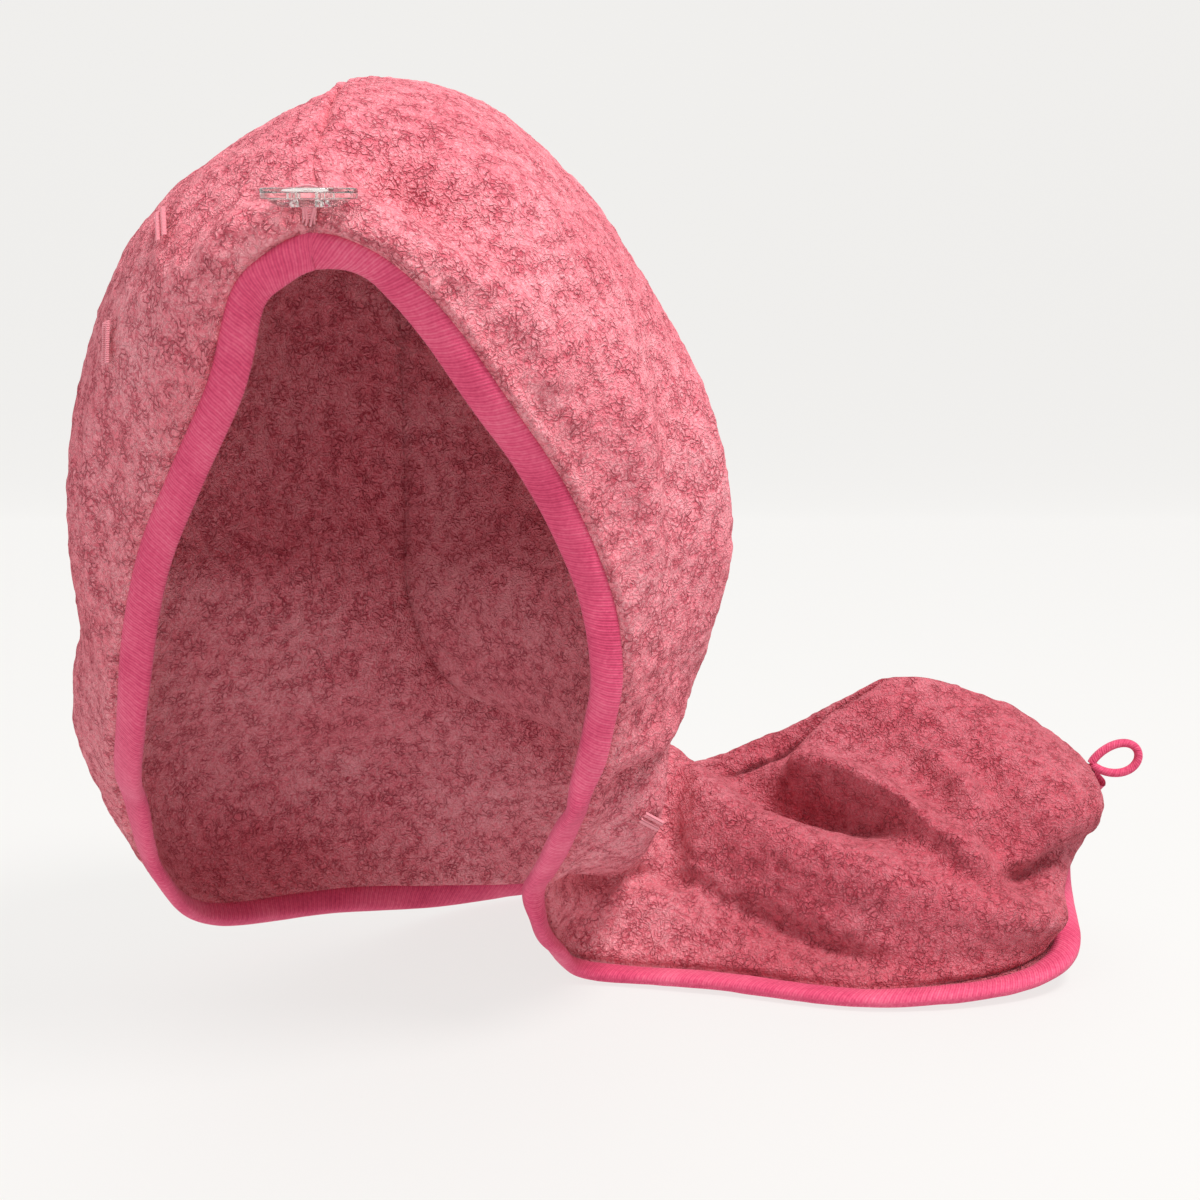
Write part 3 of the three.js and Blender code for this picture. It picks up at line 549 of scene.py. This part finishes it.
def panel_piece(panel):
    """A panel as one closed mesh: its outer face, its hem and its inner face at a coarser step."""
    station = spread(panel, ROWS)
    share = np.linspace(0, 1, COLUMNS + 1)
    outer = cloth(panel, station[:, None], share[None, :])
    for _ in range(3):
        outer[1:-1] = (outer[:-2] + 2 * outer[1:-1] + outer[2:]) / 4
        outer[:, 1:-1] = (outer[:, :-2] + 2 * outer[:, 1:-1] + outer[:, 2:]) / 4
    forward = np.gradient(outer, axis=0)
    sideways = np.gradient(outer, axis=1)
    normal = unit(np.cross(sideways, forward) * panel["side"])
    normal[:2], normal[-2:] = normal[2], normal[-3]
    steps = np.linalg.norm(np.diff(outer, axis=1), axis=-1)
    from_seam = np.concatenate([np.zeros((ROWS, 1)), np.cumsum(steps, axis=1)], axis=1)
    from_edge = from_seam[:, -1:] - from_seam
    lumps = sum(tall * noise(outer, size, seed) for tall, size, seed in LUMPS)
    lift = lumps * smooth(from_edge, 0, 4) * smooth(from_seam, 0, 4)
    lift += SWELL * np.exp(-(((from_edge - SWELL_AT) / SWELL_HALF_WIDTH) ** 2))
    lift -= SEAM_DEPTH * np.exp(-((from_seam / SEAM_HALF_WIDTH) ** 2))
    lift -= EDGE_DEPTH * np.exp(-((from_edge / EDGE_HALF_WIDTH) ** 2))
    thin = smooth(station, 0, 0.35) * (1 - smooth(station, LAST - 0.25, LAST))
    outer = outer + normal * (lift * thin[:, None])[..., None]
    stitch, outward, up = edge_frames(panel, station)
    hem = [stitch + outward * HEM_REACH + up * side * HEM_HALF_WALL for side in (1, -1)]
    picked = (np.linspace(1, 0, INNER_COLUMNS + 1) * COLUMNS).round().astype(int)
    base = cloth(panel, station[:, None], share[picked][None, :])
    inner = base - normal[:, picked] * CLOTH
    inner = inner + normal[:, picked] * (0.3 * noise(inner, 7.0, 4))[..., None]
    rings = np.concatenate([outer, hem[0][:, None], hem[1][:, None], inner], axis=1)
    if panel["side"] > 0:
        rings = rings[:, ::-1]
    count = rings.shape[1]
    return make_piece(panel["name"] + "_fleece", rings.reshape(-1, 3), ring_faces(ROWS, count), fleece)


for panel in (RIGHT, LEFT):
    piece = panel_piece(panel)
    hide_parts(panel["name"] + "_panel")

# Tape: a soft woven band folded over the free edge as a U and sewn through, so that it stands as a round
# puffy roll. Ribs cross it at a slant and it puckers along its stitches.
TAPE_WIDTH = 9.6
TAPE_HALF_THICKNESS = 2.45
TAPE_STEPS = 620  # along each panel
TAPE_AROUND = 28
FINE_RIB = 0.0009  # metres from rib to rib
WIDE_RIB = 0.0021
RIB_SLANT = 0.45

# Woven polyester binding: the ribs of the weave show as fine slanted lines, painted lighter on their crests
# and darker in their troughs as painted shade, and its tone changes slowly at random.
tape_material, tree, shader = new_material("tape")
uv = add_node(tree, "ShaderNodeTexCoord").outputs["UV"]
along = add_node(tree, "ShaderNodeSeparateXYZ", {0: uv})
place = add_node(tree, "ShaderNodeTexCoord").outputs["Object"]
slant = add_node(
    tree,
    "ShaderNodeMath",
    {0: along.outputs[1], 1: RIB_SLANT, 2: along.outputs[0]},
    operation="MULTIPLY_ADD",
)
height = add_node(tree, "ShaderNodeTexNoise", {"Vector": place, "Scale": 900.0, "Detail": 3.0})
for pitch, amount in ((FINE_RIB, 0.22), (WIDE_RIB, 0.13)):
    turns = add_node(
        tree, "ShaderNodeMath", {0: slant.outputs[0], 1: 2 * math.pi / pitch}, operation="MULTIPLY"
    )
    ribs = add_node(tree, "ShaderNodeMath", {0: turns.outputs[0]}, operation="SINE")
    height = add_node(
        tree,
        "ShaderNodeMath",
        {0: ribs.outputs[0], 1: amount, 2: height.outputs[0]},
        operation="MULTIPLY_ADD",
    )
slow = add_node(tree, "ShaderNodeTexNoise", {"Vector": place, "Scale": 60.0, "Detail": 2.0})
tone = add_node(tree, "ShaderNodeMath", {0: slow.outputs[0], 1: 0.6}, operation="MULTIPLY")
tone = add_node(
    tree, "ShaderNodeMath", {0: height.outputs[0], 1: 0.4, 2: tone.outputs[0]}, operation="MULTIPLY_ADD"
)
# partly painted shade: the colour is darker in the troughs of the ribs and lighter on their crests; the slow
# noise is the tape's own tone
rib_shade_and_tone = add_node(tree, "ShaderNodeValToRGB", {0: tone.outputs[0]})
stops = rib_shade_and_tone.color_ramp.elements
stops.new(0.5).color = linear("#d94e74")
stops[0].position = 0.2
stops[0].color = linear("#b83058")
stops[2].position = 0.8
stops[2].color = linear("#ea7590")
tree.links.new(rib_shade_and_tone.outputs[0], shader.inputs["Base Color"])
shader.inputs["Roughness"].default_value = 0.8
shader.inputs["Specular IOR Level"].default_value = 0.25
shader.inputs["Sheen Weight"].default_value = 0.3
shader.inputs["Sheen Roughness"].default_value = 0.4
shader.inputs["Sheen Tint"].default_value = linear("#ffc0d2")
bump = add_node(tree, "ShaderNodeBump", {"Height": height.outputs[0], "Strength": 0.35, "Distance": 0.0008})
tree.links.new(bump.outputs[0], shader.inputs["Normal"])

right_frame = edge_frames(RIGHT, spread(RIGHT, TAPE_STEPS))
left_frame = edge_frames(LEFT, spread(LEFT, TAPE_STEPS))
stitch, outward, up = (np.concatenate([a, b[::-1]]) for a, b in zip(right_frame, left_frame))


def soften(values, reach):
    """Evens out values along a closed line."""
    kernel = np.exp(-np.linspace(-1.7, 1.7, 2 * reach + 1) ** 2)
    kernel /= kernel.sum()
    padded = np.concatenate([values[-reach:], values, values[:reach]])
    return np.stack([np.convolve(padded[:, c], kernel, "valid") for c in range(3)], -1)


stitch, outward, up = soften(stitch, 3), unit(soften(outward, 8)), unit(soften(up, 8))
outward = unit(outward - up * np.sum(outward * up, -1, keepdims=True))
gone = np.concatenate([[0], np.cumsum(np.linalg.norm(np.diff(stitch, axis=0), axis=1))])
angle = np.linspace(0, 2 * np.pi, TAPE_AROUND, endpoint=False)
half = (TAPE_WIDTH - 0.1) / 2
pucker = 1 + 0.05 * noise(stitch, 4.5, 7) + 0.05 * noise(stitch, 9.0, 8)
sine, cosine = np.sin(angle), np.cos(angle)
section_out = half + 0.1 + half * np.sign(cosine) * np.abs(cosine) ** 0.8
pinched = 1 - 0.22 * (cosine < 0) * cosine**2  # flatter where it is sewn to the cloth
section_up = TAPE_HALF_THICKNESS * np.sign(sine) * np.abs(sine) ** 0.72 * pinched
rings = (
    stitch[:, None]
    + outward[:, None] * section_out[None, :, None]
    + up[:, None] * (section_up[None, :] * pucker[:, None])[..., None]
)
around = np.concatenate([[0], np.cumsum(np.hypot(np.diff(section_out), np.diff(section_up)))])
uv_points = np.stack(np.broadcast_arrays(gone[:, None], around[None, :]), -1).reshape(-1, 2) * MM
faces = ring_faces(len(rings), TAPE_AROUND, closed=True)
tape = make_piece("tape", rings[:, ::-1].reshape(-1, 3), faces, tape_material, uv_points)
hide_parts("edge_tape")

# Button: a clear plastic dish with a raised rim and four holes, moulded in one piece. It stands level on its
# thread above the peak.
BUTTON_PLACE = (0.0015, -0.0914, -0.038)
BUTTON_LEAN = 6  # degrees
BUTTON_RADIUS = 0.0115
RIM_HEIGHT, RIM_MIDDLE = 0.0027, 0.0007
RIM_WIDTH = 0.0021
DISH_SLOPE, DISH_DEPTH = 0.0009, 0.0013
UNDERSIDE_STEP, UNDERSIDE_DEPTH = 0.0012, 0.0018  # the dish is narrower under the rim
UNDERSIDE_TAPER = 0.66
BUTTON_ROUNDING = 0.00045
HOLE_RADIUS, HOLE_REACH = 0.001, 0.0025  # each hole's, and its place from the middle along X and Y

# Clear acrylic or polycarbonate, moulded and polished: it bends what lies behind it and its rim glints.
button_material, tree, shader = new_material("clear_moulded_plastic")
shader.inputs["Base Color"].default_value = linear("#fbf7f4")
shader.inputs["Roughness"].default_value = 0.04
shader.inputs["IOR"].default_value = 1.49
shader.inputs["Transmission Weight"].default_value = 0.97
shader.inputs["Coat Weight"].default_value = 0.4


def apply_modifier(piece, kind, **settings):
    modifier = piece.modifiers.new(kind.lower(), kind)
    for key, value in settings.items():
        setattr(modifier, key, value)
    bpy.context.view_layer.objects.active = piece
    bpy.ops.object.modifier_apply(modifier=modifier.name)


def select_faces(piece, facing):
    """Leaves the piece in edit mode with just the faces selected that look along facing times +Z."""
    bpy.context.view_layer.objects.active = piece
    bpy.ops.object.mode_set(mode="EDIT")
    bpy.ops.mesh.select_mode(type="FACE")
    bpy.ops.mesh.select_all(action="DESELECT")
    bpy.ops.object.mode_set(mode="OBJECT")
    for face in piece.data.polygons:
        face.select = face.normal.z * facing > 0.9
    bpy.ops.object.mode_set(mode="EDIT")


bpy.ops.object.select_all(action="DESELECT")
bpy.ops.mesh.primitive_cylinder_add(
    vertices=72, radius=BUTTON_RADIUS, depth=RIM_HEIGHT, location=(0, 0, RIM_MIDDLE)
)
button = bpy.context.object
select_faces(button, 1)
bpy.ops.mesh.inset(thickness=RIM_WIDTH)
bpy.ops.mesh.inset(thickness=DISH_SLOPE, depth=-DISH_DEPTH)
bpy.ops.object.mode_set(mode="OBJECT")
select_faces(button, -1)
bpy.ops.mesh.inset(thickness=UNDERSIDE_STEP)
bpy.ops.mesh.extrude_region_move(TRANSFORM_OT_translate={"value": (0, 0, -UNDERSIDE_DEPTH)})
bpy.ops.transform.resize(value=(UNDERSIDE_TAPER, UNDERSIDE_TAPER, 1))
bpy.ops.object.mode_set(mode="OBJECT")
apply_modifier(
    button, "BEVEL", width=BUTTON_ROUNDING, segments=3, limit_method="ANGLE", angle_limit=math.radians(25)
)
for x, y in ((1, 1), (1, -1), (-1, 1), (-1, -1)):
    hole = (x * HOLE_REACH, y * HOLE_REACH, 0)
    bpy.ops.mesh.primitive_cylinder_add(vertices=20, radius=HOLE_RADIUS, depth=0.02, location=hole)
    drill = bpy.context.object
    apply_modifier(button, "BOOLEAN", operation="DIFFERENCE", object=drill, solver="EXACT")
    bpy.data.objects.remove(drill)
bpy.ops.object.select_all(action="DESELECT")
button.select_set(True)
bpy.context.view_layer.objects.active = button
button.rotation_euler = (math.radians(BUTTON_LEAN), 0, 0)
button.location = BUTTON_PLACE
bpy.ops.object.transform_apply(location=True, rotation=True, scale=True)
bpy.ops.object.shade_smooth_by_angle(angle=math.radians(30))
button.name = "clear_button"
button.data.materials.clear()
button.data.materials.append(button_material)
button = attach(button, "root") or button
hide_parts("button")

# Thread: pink sewing cotton, wound several times from the seam up through the button's holes and then round
# itself, so that the button stands on a short shank.
THREAD_RADIUS = 0.3
WAYS_UP = 9
WINDS = 5

# Spun sewing cotton: matt, with a faint bloom of loose fibres.
thread_material, tree, shader = new_material("spun_sewing_cotton")
shader.inputs["Base Color"].default_value = linear("#e58b98")
shader.inputs["Roughness"].default_value = 0.75
shader.inputs["Sheen Weight"].default_value = 0.4


def tube(line, radius, around):
    """Rings of a round cord along a line of places."""
    line = np.asarray(line, float)
    forward = unit(np.gradient(line, axis=0))
    side = unit(np.cross(forward, [0.31, 0.2, 0.93]))
    upright = np.cross(side, forward)
    angle = np.linspace(0, 2 * np.pi, around, endpoint=False)
    spokes = side[:, None] * np.cos(angle)[None, :, None] + upright[:, None] * np.sin(angle)[None, :, None]
    return line[:, None] + spokes * radius


def cords(name, lines, radius, around=6):
    """Thread along several lines, as one piece."""
    points, faces = [], []
    for line in lines:
        rings = tube(line, radius, around)
        faces += [[i + len(points) for i in face] for face in ring_faces(len(rings), around)]
        points += rings.reshape(-1, 3).tolist()
    return make_piece(name, points, faces, thread_material)


foot = np.array([0.0, -82.3, -43.2])
middle = np.array(BUTTON_PLACE) / MM
hole_reach = HOLE_REACH / MM
lines = []
t = np.linspace(0, 1, 14)[:, None]
for turn in 2 * np.pi * np.arange(WAYS_UP) / WAYS_UP:
    low = foot + np.array([1.7 * np.cos(turn), 0.5 * np.sin(turn), 1.5 * np.sin(turn)])
    corner = hole_reach * np.sign([np.cos(turn + 0.4), np.sin(turn + 0.4)])
    hole = middle + [*corner, 0.4]
    waist = (foot + middle) / 2 + np.array([0.9 * np.cos(turn + 1.2), 0.9 * np.sin(turn + 1.2), -1.6])
    lines.append(low * (1 - t) ** 2 + 2 * waist * t * (1 - t) + hole * t**2)
t = np.linspace(-1, 1, 12)[:, None]
for y in (-hole_reach, hole_reach):
    for beside in (0, 0.35):
        bar = middle + np.array([hole_reach, 0, 0]) * t + np.array([0, y + beside, 1.1])
        lines.append(bar + np.array([0, 0, 0.5]) * (1 - t**2))
turn = np.linspace(0, WINDS * 2 * np.pi, 90)
up_the_shank = foot + (middle - foot) * (0.18 + 0.5 * np.linspace(0, 1, 90))[:, None]
lines.append(up_the_shank + np.stack([1.45 * np.cos(turn), 0.8 * np.sin(turn), 1.2 * np.sin(turn)], -1))
thread = cords("thread_shank", lines, THREAD_RADIUS)
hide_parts("button_thread")

# Loop: a narrow strip of the same tape, folded and sewn into the tip of the tail with both legs together, so
# that it stands as a ring.
LOOP_REACH = 8.4  # half of its length
LOOP_SPREAD = 6.4  # half of its width
LOOP_HALF_WIDTH, LOOP_HALF_THICKNESS = 1.9, 1.5
LOOP_AROUND = 18
tip, away, rise = stitch[TAPE_STEPS - 1], np.array([0.985, -0.12, 0.1]), np.array([-0.1, 0.0, 0.99])
facing = np.cross(away, rise)
turn = np.linspace(-0.97 * np.pi, 0.97 * np.pi, 110)
reach = LOOP_REACH * (1 + np.cos(turn))
height = LOOP_SPREAD * np.sin(turn) * np.cos(turn / 2) ** 0.55 + 0.12 * reach
line = tip + away * 2.2 + rise * 1.5 + away * reach[:, None] + rise * height[:, None]
spread_out = unit(np.cross(np.gradient(line, axis=0), facing))
angle = np.linspace(0, 2 * np.pi, LOOP_AROUND, endpoint=False)
flat_cos = np.sign(np.cos(angle)) * np.abs(np.cos(angle)) ** 0.8
rings = (
    line[:, None]
    + spread_out[:, None] * (LOOP_HALF_THICKNESS * flat_cos)[None, :, None]
    - facing * (LOOP_HALF_WIDTH * np.sin(angle))[None, :, None]
)
gone = np.concatenate([[0], np.cumsum(np.linalg.norm(np.diff(line, axis=0), axis=1))])
uv_points = np.stack(np.broadcast_arrays(gone[:, None], (angle * 1.7)[None, :]), -1).reshape(-1, 2) * MM
faces = ring_faces(len(rings), LOOP_AROUND)
loop = make_piece("loop", rings.reshape(-1, 3), faces, tape_material, uv_points)
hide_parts("hanging_loop")

# Buttonholes: each slit is bound by close stitches of the same thread, side by side on both of its lips. Two
# are beside the face on the left, and one is on the fold of cloth where the tail begins.
BUTTONHOLES = ((LEFT, 2.8, 0.66, 40), (LEFT, 3.5, 0.78, 12), (RIGHT, 8.72, 0.82, 60))  # the last is degrees
HALF_SLIT = 5.4
STITCHES = 20  # on each lip
STITCH_RADIUS = 0.24
t = np.linspace(-1, 1, 7)[:, None]
lines = []
for panel, station, share, degrees in BUTTONHOLES:
    at = cloth(panel, station, share)
    out = normal_of(panel, cloth, station, share)
    down = unit(np.array([0, 0, -1.0]) + out * out[2])
    sideways = np.cross(out, down)
    c, d = math.cos(math.radians(degrees)), math.sin(math.radians(degrees))
    length, width = down * c + sideways * d, sideways * c - down * d
    for k in np.linspace(-HALF_SLIT, HALF_SLIT, STITCHES):
        for lip in (-1, 1):
            raised = out * (1.7 + 0.6 * (1 - t**2))
            lines.append(at + length * k + width * (lip * 1.1 + 0.75 * t) + raised)
bound = cords("buttonhole_stitches", lines, STITCH_RADIUS)

# Floor: a plain pale sweep of painted board that curves up into a wall far behind. It gives off a faint light
# of its own, so that it stays as pale as a lit studio ground.
floor_material, tree, shader = new_material("floor")
shader.inputs["Base Color"].default_value = linear("#5c5b5a")
shader.inputs["Emission Color"].default_value = linear("#fffefc")
shader.inputs["Emission Strength"].default_value = 0.76
shader.inputs["Roughness"].default_value = 0.7
profile = [(-4.0, 0), (2.0, 0)]
profile += [(2.0 + 0.8 * math.sin(a), 0.8 - 0.8 * math.cos(a)) for a in np.linspace(0, math.pi / 2, 16)[1:]]
profile.append((2.8, 5))
mesh = bpy.data.meshes.new("floor")
points = [(x, y, -0.2845 + z) for y, z in profile for x in (-6, 6)]
mesh.from_pydata(points, [], [(2 * i, 2 * i + 1, 2 * i + 3, 2 * i + 2) for i in range(len(profile) - 1)])
mesh.polygons.foreach_set("use_smooth", [True] * len(mesh.polygons))
mesh.materials.append(floor_material)
floor = bpy.data.objects.new("floor", mesh)
bpy.context.collection.objects.link(floor)

# Camera: a little below the brow of the hood, pitched down, with a standard lens half a metre away.
camera_data = bpy.data.cameras.new("camera")
camera_data.lens = 51
camera_data.sensor_width = 36
camera = bpy.data.objects.new("camera", camera_data)
camera.location = (0.070, -0.5, -0.082)
camera.rotation_euler = (math.radians(90 - 7.3), 0, 0)
bpy.context.collection.objects.link(camera)
bpy.context.scene.camera = camera

# Light: a soft key from the upper right in front, a weaker and wider one from the left, and a bright room.
world = bpy.data.worlds.new("room")
bpy.context.scene.world = world
world.use_nodes = True
world.node_tree.nodes["Background"].inputs["Color"].default_value = (1, 0.99, 0.98, 1)
world.node_tree.nodes["Background"].inputs["Strength"].default_value = 0.6
bpy.context.scene.view_settings.view_transform = "Standard"


def area_light(name, place, target, size, power, colour):
    data = bpy.data.lights.new(name, "AREA")
    data.shape = "DISK"
    data.size = size
    data.energy = power
    data.color = colour
    light = bpy.data.objects.new(name, data)
    light.location = place
    light.rotation_euler = (Vector(target) - Vector(place)).to_track_quat("-Z", "Y").to_euler()
    bpy.context.collection.objects.link(light)


area_light("key", (0.62, -0.5, 1.1), (0.06, 0, -0.12), 0.45, 23, (1, 0.985, 0.97))
area_light("fill", (-1.2, -1.4, 0.6), (0.1, 0, -0.15), 1.4, 5, (1, 0.98, 0.97))
